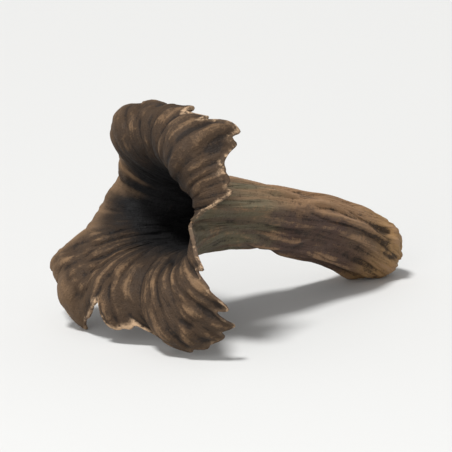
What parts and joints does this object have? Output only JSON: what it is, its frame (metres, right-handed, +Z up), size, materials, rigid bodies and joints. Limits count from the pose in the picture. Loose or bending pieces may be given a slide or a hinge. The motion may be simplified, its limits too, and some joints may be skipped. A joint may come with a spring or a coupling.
{
  "type": "dried black trumpet mushroom",
  "caption": "Whole dried black trumpet mushroom lying on its side: hollow wrinkled stem, funnel throat and a torn lip rolled outward.",
  "frame": {"origin": "under the middle of the mushroom's box, on the surface it lies on", "axes": "+X from the mouth towards the foot of the stem, +Z up as it lies"},
  "size_m": [0.0368, 0.0232, 0.0207],
  "materials": {
    "dried_flesh": "matte"
  },
  "bodies": {
    "root": {"dried_fruit_body": "dried_flesh"}
  },
  "joints": []
}
